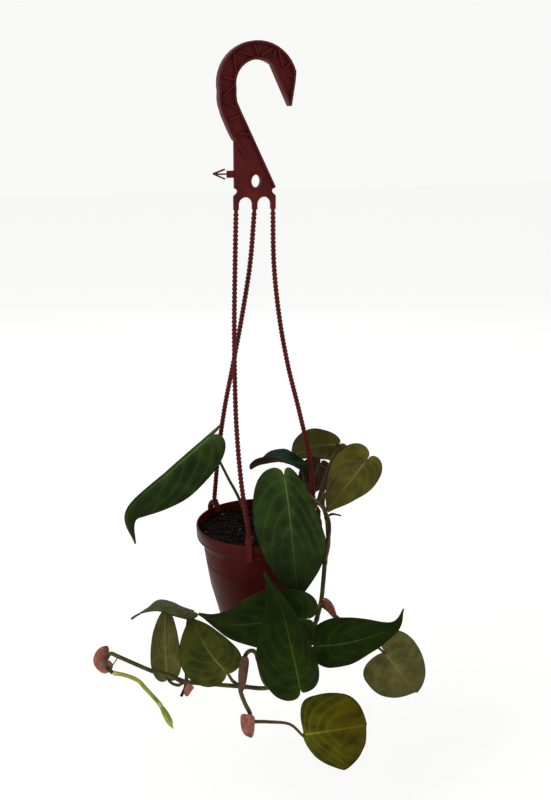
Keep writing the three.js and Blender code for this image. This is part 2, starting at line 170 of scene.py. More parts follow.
def piece_from(
    bm: BMesh,
    name: str,
    materials: Sequence[Material],
    slot: str,
    nodes: Sequence[str],
    smooth: bool = True,
) -> Object:
    """Turns a bmesh in millimetres into a piece of the object.

    Args:
        bm: The mesh, which is freed.
        name: The piece's name.
        materials: Its material slots in order.
        slot: The record's material slot; not used.
        nodes: The CAD nodes it stands for.
        smooth: Whether its faces are shaded smooth.

    Returns:
        The new object, riding on the root body.
    """
    bmesh.ops.scale(bm, vec=(MM, MM, MM), verts=bm.verts)
    for face in bm.faces:
        face.smooth = smooth
    obj = meshed(bm, name, materials)
    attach(obj, "root")
    if nodes:
        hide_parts(*nodes)
    return obj


def bake_modifiers(obj: Object) -> None:
    """Applies an object's modifiers to its mesh."""
    bpy.context.view_layer.update()
    graph = bpy.context.evaluated_depsgraph_get()
    made = bpy.data.meshes.new_from_object(obj.evaluated_get(graph))
    old = obj.data
    obj.modifiers.clear()
    obj.data = made
    bpy.data.meshes.remove(old)


def rounded(obj: Object, width: float) -> None:
    """Adds a bevel modifier to the piece's sharp edges, width in millimetres."""
    bevel = obj.modifiers.new("edge", "BEVEL")
    bevel.width = width * MM
    bevel.segments = 2
    bevel.limit_method = "ANGLE"
    bevel.angle_limit = math.radians(35)


def spun(outline: Sequence[Pair], steps: int) -> BMesh:
    """A round body about the upright axis.

    Args:
        outline: Radius and height of its section, in millimetres.
        steps: Steps round the axis.

    Returns:
        The mesh, closed and with its faces outwards.
    """
    bm = bmesh.new()
    verts = [bm.verts.new((r, 0.0, z)) for r, z in outline]
    edges = [bm.edges.new(pair) for pair in zip(verts, verts[1:])]
    bmesh.ops.spin(
        bm, geom=verts + edges, cent=(0, 0, 0), axis=(0, 0, 1),
        angle=math.tau, steps=steps, use_merge=True,
    )  # fmt: skip
    bmesh.ops.remove_doubles(bm, verts=bm.verts, dist=WELD)
    bmesh.ops.recalc_face_normals(bm, faces=bm.faces)
    return bm


def tube(
    points: Sequence[Point],
    radius: Callable[[float, float], float],
    sides: int,
    pitch: float,
    marks: Callable[[float, float], float] | None = None,
) -> BMesh:
    """A round body along a line, closed at both ends.

    Args:
        points: Its centre line in millimetres.
        radius: Radius for a share of the length and an angle.
        sides: Corners of its section.
        pitch: Distance between rings in millimetres.
        marks: Optional value stored as the attribute "mark".

    Returns:
        The mesh in millimetres, with attributes "run" and "mark".
    """
    line = Line(points)
    steps = max(4, round(line.length / pitch))
    bm = bmesh.new()
    run = bm.verts.layers.float.new("run")
    mark = bm.verts.layers.float.new("mark")
    bmesh.ops.create_cone(bm, cap_ends=True, segments=sides, radius1=1, radius2=1, depth=1)
    upright = [e for e in bm.edges if abs(e.verts[0].co.z - e.verts[1].co.z) > 0.5]
    bmesh.ops.subdivide_edges(bm, edges=upright, cuts=steps - 1, use_grid_fill=True)
    rings = line.frames(steps)
    for v in bm.verts:
        share = v.co.z + 0.5
        centre, right, up = rings[round(share * steps)]
        angle = math.atan2(v.co.y, v.co.x)
        r = radius(share, angle)
        v[run] = share * line.length
        v[mark] = marks(share, angle) if marks else 0.0
        v.co = centre + right * (math.cos(angle) * r) + up * (math.sin(angle) * r)
    bmesh.ops.recalc_face_normals(bm, faces=bm.faces)
    return bm


def copy_of(node: str) -> BMesh:
    """A merged copy of a CAD node's mesh, in millimetres."""
    bm = bmesh.new()
    bm.from_mesh(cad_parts[node].data)
    bmesh.ops.scale(bm, vec=(1 / MM, 1 / MM, 1 / MM), verts=bm.verts)
    bmesh.ops.remove_doubles(bm, verts=bm.verts, dist=0.002)
    bmesh.ops.dissolve_limit(
        bm, angle_limit=math.radians(0.6), verts=bm.verts, edges=bm.edges
    )
    return bm


# ---- node trees ----


# Each kind of node in use: its sockets in the order given, its output, its settings.
KINDS: dict[str, tuple[tuple[int | str, ...], int | str, dict[str, str]]] = {
    "Attribute": ((), "Fac", {}),
    "TexCoord": ((), "Object", {}),
    "TexNoise": (("Vector", "Scale", "Detail", "Distortion"), 0, {}),
    "TexVoronoi": (("Vector", "Scale"), "Distance", {}),
    "MapRange": ((0, 1, 2, 3, 4), 0, {"interpolation_type": "SMOOTHSTEP"}),
    "Mix": ((0, 6, 7), 2, {"data_type": "RGBA"}),
    "Math": ((0, 1), 0, {"operation": "MULTIPLY"}),
    "Bump": (("Height", "Distance", "Strength"), 0, {}),
    "BsdfPrincipled": (
        ("Base Color", "Roughness", "Normal", "Specular IOR Level", "Subsurface Weight",
         "Subsurface Scale"), 0, {},
    ),
    "OutputMaterial": (("Surface",), 0, {}),
    "Background": (("Color", "Strength"), 0, {}),
    "OutputWorld": (("Surface",), 0, {}),
}  # fmt: skip
BUMP_STRENGTH = 0.8


def linear(code: str) -> tuple[float, float, float, float]:
    """A linear colour from an sRGB hex value such as "4c2f27"."""
    parts = [int(code[i : i + 2], 16) / 255 for i in (0, 2, 4)]
    made = [c / 12.92 if c <= 0.04045 else ((c + 0.055) / 1.055) ** 2.4 for c in parts]
    return made[0], made[1], made[2], 1.0


class Nodes:
    """A node tree, filled one node at a time."""

    def __init__(self, tree: NodeTree) -> None:
        """Empties the tree."""
        self.tree = tree
        tree.nodes.clear()

    def add(self, kind: str, *values: Any, **settings: Any) -> NodeSocket | None:
        """Adds a node with its settings and links.

        Args:
            kind: One of KINDS.
            *values: For its sockets in order: a value, or an output socket to link.
            **settings: The node's own properties, over the usual ones.

        Returns:
            Its output socket, if it has one.
        """
        sockets, output, usual = KINDS[kind]
        made = self.tree.nodes.new("ShaderNode" + kind)
        for key, value in {**usual, **settings}.items():
            setattr(made, key, value)
        for key, value in zip(sockets, values):
            if isinstance(value, NodeSocket):
                self.tree.links.new(value, made.inputs[key])
            else:
                made.inputs[key].default_value = value
        return made.outputs[output] if made.outputs else None

    def painted(self, base: str, *layers: tuple[NodeSocket, str]) -> Any:
        """Lays colours over a base colour, each by its share; gives the last mix."""
        colour: Any = linear(base)
        for share, code in layers:
            colour = self.add("Mix", share, colour, linear(code))
        return colour

    def close(
        self,
        colour: NodeSocket,
        rough: NodeSocket | float,
        height: NodeSocket,
        depth: float,
        *gloss: float,
    ) -> None:
        """Ends a material in a Principled shader with a bump.

        Args:
            colour: Base colour socket.
            rough: Roughness.
            height: Bump height, 0 to 1.
            depth: Bump depth in millimetres.
            *gloss: Specular level, then subsurface weight and scale if it has them.
        """
        bump = self.add("Bump", height, depth * MM, BUMP_STRENGTH)
        self.add("OutputMaterial", self.add("BsdfPrincipled", colour, rough, bump, *gloss))


# ---- finishes ----


class Tone(Enum):
    """The leaf colours found on this plant."""

    DARK = "dark"
    TEAL = "teal"
    FRESH = "fresh"
    OLIVE = "olive"
    YELLOW = "yellow"
    GREY = "grey"


class Crumb(Enum):
    """What lies on the potting mix."""

    BARK = "bark"
    FIBRE = "fibre"
    PERLITE = "perlite"


@dataclass(frozen=True)
class Finish:
    """A material, with the nodes that give it its look."""

    name: str

    def build(self) -> Material:
        """Builds the material."""
        material = bpy.data.materials.new(self.name)
        material.use_nodes = True
        self.paint(Nodes(material.node_tree))
        return material

    def paint(self, nodes: Nodes) -> None:
        """Fills the node tree."""
        raise NotImplementedError


@dataclass(frozen=True)
class LeafSkin(Finish):
    """One face of a philodendron leaf.

    The upper face is velvety: tiny domed cells swallow the light, so it stays dark and
    soft, paler beside the veins. The underside is smoother and browner, with pale veins.
    """

    deep: str
    light: str
    halo: str
    vein: str
    tip: str
    bloom: float = 0.16
    threads: float = 0.1
    depth: float = 0.1
    margin: str = "241a10"
    laterals: float = 7.0
    rough: float = 0.6
    specular: float = 0.04
    # To the metre: blotches 12 mm across, and cells drawn at 0.7 mm so that they show.
    blotches: float = 85.0
    cells: float = 1400.0

    def paint(self, nodes: Nodes) -> None:
        """Blotches, pale halos along the veins, fine cells and a dry edge."""
        add = nodes.add
        flow, along, edge, rib = (
            add("Attribute", attribute_name=key) for key in ("flow", "along", "edge", "rib_mm")
        )
        place = add("TexCoord")
        blotch = add("TexNoise", place, self.blotches, 4.0)
        cells = add("TexNoise", place, self.cells, 2.0)
        turns = add("Math", flow, self.laterals)
        lateral = add("Math", turns, 0.5, operation="PINGPONG")
        fine = add("Math", add("Math", turns, 5.0), 0.5, operation="PINGPONG")
        fading = add("MapRange", along, 0.5, 0.85, 1.0, 0.0)
        tip = add("MapRange", along, 0.5, 1.0, 0.0, 0.8)
        near_rib = add("MapRange", rib, 0.4, 5.5, self.bloom, 0.0)
        towards_tip = add("MapRange", along, 0.1, 1.0, 1.0, 0.2)
        thread = add("MapRange", lateral, 0.015, 0.07, self.threads, 0.0)
        inward = add("Math", add("MapRange", edge, 0.6, 1.0, 1.0, 0.1), fading)
        midrib = add("MapRange", rib, 0.3, 0.8, 0.65, 0.0)
        colour = nodes.painted(
            self.deep,
            (add("MapRange", blotch, 0.35, 0.7), self.light),
            (add("Math", tip, add("MapRange", blotch, 0.3, 0.6)), self.tip),
            (add("MapRange", along, 0.0, 0.3, 0.45, 0.0), self.halo),
            (add("Math", add("MapRange", fine, 0.0, 0.5, 0.06, 0.0), fading), self.halo),
            (add("Math", add("MapRange", lateral, 0.0, 0.34, 0.5 * self.bloom, 0.0), fading),
             self.halo),
            (add("Math", near_rib, towards_tip), self.halo),
            (add("Math", thread, inward), self.vein),
            (add("Math", midrib, add("MapRange", along, 0.15, 0.9, 1.0, 0.2)), self.vein),
            (add("MapRange", edge, 0.955, 0.99, 0.0, 0.7), self.margin),
            (add("MapRange", cells, 0.3, 0.6, 0.25, 0.0), self.deep),
        )  # fmt: skip
        rough = add("MapRange", blotch, 0.3, 0.7, self.rough - 0.05, self.rough + 0.08)
        height = add("Math", cells, add("Math", fine, 0.5), operation="ADD")
        nodes.close(colour, rough, height, self.depth, self.specular)


@dataclass(frozen=True)
class StemSkin(Finish):
    """Skin of a stem or leaf stalk: fine ridges along it, satin, browner at the nodes."""

    base: str
    light: str
    node: str
    rough: float = 0.5
    # To the metre: patches about 8 mm long, and grain drawn at 0.6 mm.
    patches: float = 120.0
    grain: float = 1700.0

    def paint(self, nodes: Nodes) -> None:
        """Patches, grain, faint rings along the stem and brown nodes."""
        add = nodes.add
        run = add("Attribute", attribute_name="run")
        mark = add("Attribute", attribute_name="mark")
        place = add("TexCoord")
        patch = add("TexNoise", place, self.patches, 4.0)
        grain = add("TexNoise", place, self.grain, 2.0)
        waves = add("Math", add("Math", run, 0.9), operation="SINE")
        colour = nodes.painted(
            self.base,
            (add("MapRange", patch, 0.35, 0.68), self.light),
            (add("MapRange", grain, 0.3, 0.6, 0.35, 0.0), self.base),
            (add("Math", add("MapRange", waves, 0.4, 1.0), 0.12), self.node),
            (add("MapRange", mark, 0.1, 0.9), self.node),
        )
        rough = add("MapRange", patch, 0.3, 0.7, self.rough - 0.05, self.rough + 0.12)
        nodes.close(colour, rough, grain, 0.1, 0.15, 0.05, 0.002)


@dataclass(frozen=True)
class PaperySheath(Finish):
    """Dry leaf sheath: thin and papery, streaked along its fibres, pink to brown."""

    base: str
    light: str
    dark: str
    # To the metre: patches 4 to 5 mm across, and fibres drawn at 0.7 mm.
    patches: float = 220.0
    fibres: float = 1500.0

    def paint(self, nodes: Nodes) -> None:
        """Patches, streaks along the fibres and a dark dry tip."""
        add = nodes.add
        along = add("Attribute", attribute_name="along")
        edge = add("Attribute", attribute_name="edge")
        place = add("TexCoord")
        patch = add("TexNoise", place, self.patches, 5.0)
        fibre = add("TexNoise", place, self.fibres, 3.0)
        lines = add("Math", add("Math", edge, 5.0), 0.5, operation="PINGPONG")
        colour = nodes.painted(
            self.base,
            (add("MapRange", patch, 0.3, 0.7), self.light),
            (add("Math", add("MapRange", lines, 0.0, 0.4, 1.0, 0.0), 0.35), self.dark),
            (add("Math", add("MapRange", along, 0.75, 1.0), 0.5), self.dark),
        )
        height = add("Math", fibre, lines, operation="ADD")
        nodes.close(colour, 0.62, height, 0.18, 0.3, 0.08, 0.002)


@dataclass(frozen=True)
class MouldedPlastic(Finish):
    """Polypropylene from a polished mould: satin, faint flow marks, a little dust."""

    base: str
    worn: str
    dust: str
    rough: float
    dusty: float
    # To the metre: flow marks 22 mm across, dust drawn at 1 mm, scuffs about 4 mm long.
    clouds: float = 45.0
    specks: float = 900.0
    scuffs: float = 260.0

    def paint(self, nodes: Nodes) -> None:
        """Flow marks, specks of dust and short pale scuffs."""
        add = nodes.add
        place = add("TexCoord")
        cloud = add("TexNoise", place, self.clouds, 6.0)
        speck = add("TexNoise", place, self.specks, 3.0)
        scuff = add("TexNoise", place, self.scuffs, 2.0, 1.5)
        colour = nodes.painted(
            self.base,
            (add("MapRange", cloud, 0.35, 0.7), self.worn),
            (add("Math", add("MapRange", speck, 0.52, 0.74), self.dusty), self.dust),
            (add("Math", add("MapRange", scuff, 0.62, 0.8), self.dusty * 0.6), self.dust),
        )
        rough = add("MapRange", cloud, 0.3, 0.7, self.rough - 0.06, self.rough + 0.12)
        height = add("Math", speck, scuff, operation="ADD")
        nodes.close(colour, rough, height, 0.05, 0.07)


@dataclass(frozen=True)
class PottingMix(Finish):
    """Peat and composted bark: near black when moist, with paler fibres."""

    base: str
    light: str
    fibre: str
    # To the metre: crumbs 1.4 to 2.5 mm, patches 6 mm and fibres 2 mm long.
    crumbs: float = 400.0
    patches: float = 160.0
    fibres: float = 500.0

    def paint(self, nodes: Nodes) -> None:
        """Crumbs, damp patches and thin pale fibres."""
        add = nodes.add
        place = add("TexCoord")
        crumb = add("TexVoronoi", place, self.crumbs)
        patch = add("TexNoise", place, self.patches, 6.0)
        thread = add("TexNoise", place, self.fibres, 3.0, 3.0)
        colour = nodes.painted(
            self.base,
            (add("MapRange", patch, 0.4, 0.75), self.light),
            (add("Math", add("MapRange", thread, 0.62, 0.72), 0.5), self.fibre),
        )
        rough = add("MapRange", patch, 0.3, 0.7, 0.6, 0.95)
        nodes.close(colour, rough, add("Math", crumb, patch, operation="ADD"), 0.8, 0.04)


@dataclass(frozen=True)
class StudioPaper(Finish):
    """Pale matt paper of the floor, with a tooth of about 3 mm."""

    base: str = "fefefd"
    worn: str = "f8f8f6"
    tooth: float = 300.0

    def paint(self, nodes: Nodes) -> None:
        """A faint tooth."""
        tooth = nodes.add("TexNoise", nodes.add("TexCoord"), self.tooth, 2.0)
        colour = nodes.painted(self.base, (nodes.add("Math", tooth, 0.03), self.worn))
        nodes.close(colour, 0.9, tooth, 0.02, 0.1)


# Each tone's deep, light, halo, vein and tip colours, on the upper face.
TOPS = {
    Tone.DARK: ("14200a", "24340f", "4c632c", "5c7340", "182006"),
    Tone.TEAL: ("0f2010", "1d3020", "38503a", "4d6650", "141c0c"),
    Tone.FRESH: ("0e1901", "1b2a04", "324508", "52661f", "151e02"),
    Tone.OLIVE: ("23280a", "3c4212", "585e1c", "7e8440", "34300c"),
    Tone.YELLOW: ("2c2e04", "44460a", "5c6010", "848a28", "34300a"),
    Tone.GREY: ("34381c", "4a4e2a", "5e6238", "74784a", "463f28"),
}
# The same on the underside, after its name.
UNDERS = {
    Tone.DARK: ("brown", "2e220e", "473616", "5a4a20", "6c5c30", "2e200e"),
    Tone.TEAL: ("maroon", "2e1c10", "4a3424", "5a4430", "6e563e", "2e1c10"),
    Tone.FRESH: ("green", "2c3010", "40441a", "565a24", "6c7034", "302c10"),
    Tone.OLIVE: ("olive", "3e3c12", "55521e", "6e6c2c", "86844a", "48421a"),
    Tone.YELLOW: ("yellow", "2a2901", "474402", "606208", "8c9430", "4a3a04"),
    Tone.GREY: ("grey", "403e1c", "5c5a2e", "6c6a3c", "7e7c4c", "4e4628"),
}
UNDER_DEPTH = 0.14
YELLOW_BLOOM = 0.4


class Palette:
    """Every finish of the object, each built once."""

    def __init__(self) -> None:
        """Builds the materials."""
        self.pot = MouldedPlastic(
            "moulded_polypropylene_pot", "360703", "400b07", "5e3028", 0.4, 0.08
        ).build()
        self.hanger = MouldedPlastic(
            "moulded_polypropylene_hanger", "441110", "521816", "70403a", 0.5, 0.14
        ).build()
        self.soil = PottingMix("moist_potting_mix", "030202", "0b0806", "1e1710").build()
        self.crumbs = {
            Crumb.BARK: PottingMix("bark_chip", "0c0704", "20150c", "36281a", 700.0).build(),
            Crumb.FIBRE: PottingMix("coir_fibre", "2c2116", "4e3e2c", "5e4c38", 700.0).build(),
            Crumb.PERLITE: PottingMix("perlite_grain", "6a655c", "8a857a", "4c463c").build(),
        }
        self.stem = StemSkin("stem_skin", "2f3210", "4c4c1c", "3c2010").build()
        self.stalk = StemSkin("leaf_stalk_skin", "33280f", "4e4220", "3e2212").build()
        self.shoot = StemSkin("young_shoot_skin", "6c761c", "989a3e", "a4a256", 0.45).build()
        self.root = StemSkin("aerial_root_bark", "1c1512", "33271f", "120d0b", 0.75).build()
        self.sheath = PaperySheath("dry_sheath", "70382a", "985c4a", "40201a").build()
        self.sheath_brown = PaperySheath(
            "dry_sheath_brown", "3a2410", "5e3a22", "20140a"
        ).build()
        self.rim = LeafSkin(
            "leaf_cut_margin", "241a10", "34281a", "3a2c1a", "3a2c1a", "241a10",
            depth=UNDER_DEPTH,
        ).build()  # fmt: skip
        self.tops = {
            tone: LeafSkin(f"velvet_leaf_{tone.value}", *codes).build()
            for tone, codes in TOPS.items()
        }
        self.unders = {
            tone: LeafSkin(
                f"leaf_underside_{name}", *codes, depth=UNDER_DEPTH,
                bloom=YELLOW_BLOOM if tone is Tone.YELLOW else LeafSkin.bloom,
            ).build()
            for tone, (name, *codes) in UNDERS.items()
        }  # fmt: skip


# ---- leaves ----


@dataclass
class Leaf:
    """One heart-shaped leaf blade.

    The midrib runs base to tip. Each pair gives the two halves: first the one on the
    side that points right when the tip is up and the upper face is seen.
    """

    key: str
    rib: Sequence[Point]
    half: Pair
    lobe: Pair
    shoulder: Pair = (0.22, 0.22)
    full: Pair = (0.25, 0.25)
    square: Pair = (0.95, 0.95)
    fold: Pair = (10.0, 10.0)
    roll: Pair = (0.0, 0.0)
    tone: Tone = Tone.DARK
    under: Tone | None = None
    thickness: float = 0.55
    quilt: float = 0.45
    along: int = 84
    across: int = 20
    laterals: int = 7
    lobe_share: float = 0.42
    line: Line = field(init=False)
    prefix: ClassVar[str] = "blade"
    kind: ClassVar[str] = "velvet"
    slot: ClassVar[str] = "leaf_blade"

    def __post_init__(self) -> None:
        """Measures the midrib."""
        self.line = Line(self.rib)

    @property
    def node(self) -> str:
        """The CAD node it stands for."""
        return f"{self.prefix}_{self.key}"

    @property
    def name(self) -> str:
        """The piece's name."""
        return f"{self.node}_{self.kind}"

    def margin(self, side: int, m: float) -> Pair:
        """The margin of one half.

        Args:
            side: 0 or 1.
            m: 0 at the base to 1 at the tip.

        Returns:
            Distance across and along the midrib in millimetres.
        """
        length = self.line.length
        w, lobe, full = self.half[side], self.lobe[side], self.full[side]
        shoulder = self.shoulder[side] * length
        turn = self.lobe_share
        slit = max(0.8, 0.1 * w)
        if m < turn:
            base = (0.8, -lobe / slit)
            low = (self.square[side] * w, -1.3 * lobe)
            return cubic(base, (slit, -1.25 * lobe), low, (w, shoulder), m / turn)
        return cubic(
            (w, shoulder),
            (1.02 * w, shoulder + (0.33 + 0.2 * full) * (length - shoulder)),
            ((0.08 + 0.7 * full) * w, (0.78 + 0.2 * full) * length),
            (0.6, length),
            (m - turn) / (1 - turn),
        )

    def basis(self, share: float) -> tuple[Vector, Vector, Vector, Vector]:
        """The midrib's point, direction, across and normal at a share."""
        p = self.line.at(share)
        t = self.line.tangent(share)
        n0 = (FRONT - t * FRONT.dot(t)).normalized()
        turn = math.radians(self.roll[0] + (self.roll[1] - self.roll[0]) * share**2)
        n = n0 * math.cos(turn) + t.cross(n0) * math.sin(turn)
        return p, t, t.cross(n), n

    @staticmethod
    def flow(m: float, a: float) -> float:
        """A value that stays the same along a lateral vein, which sweeps to the tip."""
        return m - 0.33 * a**1.5

    def relief(self, m: float, a: float, x: float) -> float:
        """Height of the quilting between veins, in millimetres."""
        pillow = abs(math.sin(math.pi * self.laterals * self.flow(m, a))) ** 0.7
        fade = min(a / 0.25, 1.0) * min((1 - a) / 0.2, 1.0)
        groove = math.exp(-((x / 0.9) ** 2))
        return self.quilt * (pillow * fade - 0.9 * groove)

    def point(self, m: float, b: float) -> tuple[Vector, float]:
        """A point of the blade.

        Args:
            m: 0 at the base to 1 at the tip.
            b: -1 to 1 from margin to margin.

        Returns:
            The point, and its distance from the midrib, in millimetres.
        """
        side, sign, a = (0, 1, b) if b >= 0 else (1, -1, -b)
        length = self.line.length
        ex, ey = self.margin(side, m)
        start = length * m**1.7
        cx, cy = 0.5 * ex, (start + ey) / 2 - 0.35 * (m - 0.2) * ex
        x = 2 * (1 - a) * a * cx + a * a * ex
        y = (1 - a) ** 2 * start + 2 * (1 - a) * a * cy + a * a * ey
        p, t, across, n = self.basis(min(max(y / length, 0.0), 1.0))
        if y < 0:
            p = p + t * y
        q = math.radians(self.fold[side]) * (1 - math.exp(-x / 4))
        lift = a * a * math.sin(9 * m + (2 if sign > 0 else 0))
        rough = noise.noise(Vector((x * sign, y, 7.0 + len(self.name))) * 0.09)
        lift += x * math.sin(q) + self.relief(m, a, x) + 1.1 * rough * a
        return p + across * (sign * x * math.cos(q)) + n * lift, x

    def build(self, palette: Palette) -> Object:
        """Builds the blade with its finishes."""
        bm = bmesh.new()
        keys = [bm.verts.layers.float.new(k) for k in ("flow", "along", "edge", "rib_mm")]
        bmesh.ops.create_grid(
            bm, x_segments=2 * self.across, y_segments=self.along, size=0.5
        )
        for v in bm.verts:
            m, b = v.co.y + 0.5, v.co.x * 2
            b = 0.0 if abs(b) < 1e-5 else b
            v.co, x = self.point(min(max(m, 0.0), 1.0), min(max(b, -1.0), 1.0))
            for key, value in zip(keys, (self.flow(m, abs(b)), m, abs(b), x)):
                v[key] = value
        obj = piece_from(bm, self.name, self.faces(palette), self.slot, [self.node])
        shell = obj.modifiers.new("wall", "SOLIDIFY")
        shell.thickness = self.thickness * MM
        shell.offset = 0.0
        shell.material_offset = 1
        shell.material_offset_rim = 2
        return obj

    def faces(self, palette: Palette) -> list[Material]:
        """The upper, under and margin finishes."""
        under = self.under or self.tone
        return [palette.tops[self.tone], palette.unders[under], palette.rim]


LEAVES = (
    Leaf("left_high", ((-38, 4, -276), (-70, 6, -302), (-103, 6, -330), (-99, 3, -356)),
        (22, 25), (13, 9), (0.3, 0.33), (0.2, 0.15), fold=(-105, 0)),
    Leaf("teal", ((43, 22, -312), (20, 13, -305), (-6, 6, -304)), (17, 17), (6, 6),
        full=(0.7, 0.7), fold=(8, 8), roll=(84, 150), tone=Tone.TEAL, under=Tone.DARK),
    Leaf("maroon", ((61, 28, -317), (53, 26, -329), (41, 22, -345)), (13.5, 13), (5, 4),
        roll=(180, 180), tone=Tone.TEAL),
    Leaf("back_top", ((67, 3, -292), (57, 28, -301), (45, 53, -317)), (20, 21), (9, 6),
        full=(0.4, 0.4), fold=(-6, -6), roll=(165, 165), tone=Tone.OLIVE),
    Leaf("back_right", ((83, -18, -301), (69, -18, -317), (50, -20, -339)), (18, 23),
        (8, 9), full=(0.3, 0.35), fold=(-4, -4), roll=(178, 178), tone=Tone.OLIVE),
    Leaf("main", ((4, -50, -294), (5, -58, -316), (7, -65, -355), (10, -66, -388)),
        (27, 25), (9, 8), (0.28, 0.5), (0.45, 0.4), (0.95, 0.5), (6, 6)),
    Leaf("wide_left", ((12, -75, -399), (-14, -71, -399), (-40, -59, -403), (-61, -41, -400)),
        (28, 24), (11, 9), (0.24, 0.24), (0.02, 0.02), fold=(6, 6), tone=Tone.FRESH),
    Leaf("front", ((5, -86, -450), (-2, -90, -419), (-10, -85, -381), (-19, -72, -357)),
        (17, 27), (4, 10), (0.2, 0.3), (0.1, 0.1), fold=(10, 4), tone=Tone.FRESH),
    Leaf("right", ((24, -69, -427), (47, -78, -423), (80, -83, -414), (88, -85, -398)),
        (18, 24), (6, 4), (0.12, 0.2), (0, 0), fold=(8, 8), tone=Tone.FRESH),
    Leaf("far_right", ((83, -65, -445), (96, -65, -464), (112, -64, -486)), (24, 27),
        (18, 1), (0.1, 0.3), (0.8, 1.1), fold=(4, 4), roll=(180, 180), tone=Tone.GREY),
    Leaf("bottom", ((11, -77, -496), (32, -90, -488), (56, -94, -486)), (31, 37),
        (-1, 2.5), (0.35, 0.4), (0.95, 1.2), fold=(4, 4), roll=(180, 180),
        tone=Tone.YELLOW),
    Leaf("round_left", ((-45, -55, -443), (-56, -51, -427), (-67, -39, -404)), (20, 25),
        (5, 7), (0.2, 0.3), (0.5, 0.5), fold=(5, 5), tone=Tone.OLIVE),
    Leaf("edge_left", ((-65, -31, -402), (-88, -30, -393), (-110, -29, -402)), (18, 18),
        (5, 5), full=(0.3, 0.3), fold=(-6, -6), roll=(104, 104), tone=Tone.GREY),
    Leaf("hanging", ((-82, -19, -461), (-82, -17, -431), (-81, -19, -402)), (12, 12),
        (5, 5), full=(0.6, 0.6), fold=(-8, -8), roll=(180, 180), tone=Tone.GREY),
)  # fmt: skip


@dataclass
class Sheath(Leaf):
    """A dry leaf sheath: a small curled papery blade."""

    thickness: float = 0.35
    quilt: float = 0.08
    along: int = 30
    across: int = 10
    laterals: int = 1
    brown: bool = False
    prefix: ClassVar[str] = "sheath"
    kind: ClassVar[str] = "papery"
    slot: ClassVar[str] = "dry_sheath"

    def faces(self, palette: Palette) -> list[Material]:
        """The sheath's finish, the same on every face."""
        return [palette.sheath_brown if self.brown else palette.sheath] * 3


SHEATHS = (
    Sheath("node", ((41, -39, -405), (45, -43, -412), (50, -45, -421)), (3.5, 3.5),
        (1, 1), full=(0.5, 0.5), fold=(-30, -30)),
    Sheath("long", ((-31, -63, -430), (-33, -64, -443), (-34, -63, -458)), (4, 4),
        (1, 1), full=(0.9, 0.9), fold=(-40, -40), brown=True),
    Sheath("square", ((-28, -63.5, -479), (-28.5, -64.5, -488), (-28, -64, -499)),
        (8, 4.5), (0, 0), full=(1, 1), fold=(-35, -35)),
    Sheath("hairpin", ((-124, -5, -457), (-131, -3, -449), (-126, -4, -435)),
        (6.5, 6.5), (0, 0), full=(0.8, 0.8), fold=(20, 20), roll=(180, 180)),
    Sheath("red", ((-66, -35, -463), (-69, -35, -467), (-71, -34, -472)), (3.5, 3.5),
        (0, 0), full=(0.8, 0.8), fold=(-40, -40)),
)  # fmt: skip


# ---- stems ----


@dataclass
class Stem:
    """A stem, stalk or root: a line, its radii, and where its nodes are."""

    node: str
    kind: str
    slot: str
    line: Sequence[Point]
    radius: Pair
    knots: Sequence[float] = ()
    swell: float = 0.35
    bud: float = 0.0
    pitch: float = 1.1
    thinnest: float = 0.12
    reach: float = field(init=False)

    def __post_init__(self) -> None:
        """Measures the line."""
        self.reach = Line(self.line).length

    def width(self, share: float, angle: float) -> float:
        """Radius at a share of the length, with nodes, ridges and a bud."""
        r = self.radius[0] + (self.radius[1] - self.radius[0]) * share
        for knot in self.knots:
            r += self.swell * math.exp(-(((share - knot) * self.reach / 1.6) ** 2))
        if self.bud and share > 0.7:
            r += self.bud * math.sin(min((share - 0.7) / 0.28, 1.0) * math.pi)
            r *= 1.0 - 0.75 * max(0.0, (share - 0.93) / 0.07)
        wobble = noise.noise(Vector((math.cos(angle), math.sin(angle), share * 9)))
        return max(r * (1 + 0.03 * math.cos(3 * angle) + 0.05 * wobble), self.thinnest)

    def marked(self, share: float, _: float) -> float:
        """How much of the node colour shows."""
        near = [abs(share - k) * self.reach for k in self.knots]
        return math.exp(-((min(near) / 2.2) ** 2)) if near else 0.0

    def build(self, material: Material, sides: int = 12) -> Object:
        """Builds the stem with its finish."""
        bm = tube(self.line, self.width, sides, self.pitch, self.marked)
        name = f"{self.node}_{self.kind}"
        return piece_from(bm, name, [material], self.slot, [self.node])


STEM_MAIN = (
    (36, 4, -369), (40, 0, -350), (44, -6, -340), (46, -10, -333), (48.5, -16, -338),
    (50, -19, -346), (50, -22, -356), (49, -25, -366), (46, -27, -377), (44, -29, -393),
    (40, -34, -411), (29, -47, -427), (21, -54, -442), (7, -55, -456), (-9, -52, -466),
    (-30, -45, -465), (-50, -37, -464), (-70, -30, -462), (-83, -26, -456),
    (-94, -22, -453), (-111, -15, -445), (-119, -12, -441), (-124, -10, -439),
    (-128, -9, -445), (-127, -9, -451), (-123, -12, -455),
)  # fmt: skip
STEM_YOUNG = (
    (-123, -12, -455), (-114, -15, -457), (-105, -19, -461), (-100, -22, -467),
    (-95, -25, -473), (-89, -28, -482), (-81, -31, -501),
)  # fmt: skip
STEM_SIDE = (
    (-9, -52, -466), (-15, -55, -454), (-20, -57, -433), (-25, -58, -428),
    (-29, -57, -432), (-31, -56, -445), (-33, -56, -460), (-30, -57, -472),
    (-26, -58, -482), (-26, -58, -489),
)  # fmt: skip
STEMS = (
    Stem("stem_main", "vine", "stem_skin", STEM_MAIN, (1.9, 1.6),
        (0.112, 0.26, 0.39, 0.49, 0.57, 0.64, 0.78, 0.955, 0.985)),
    Stem("stem_side", "vine", "stem_skin", STEM_SIDE, (1.7, 1.7), (0.3, 0.55, 0.98)),
)  # fmt: skip
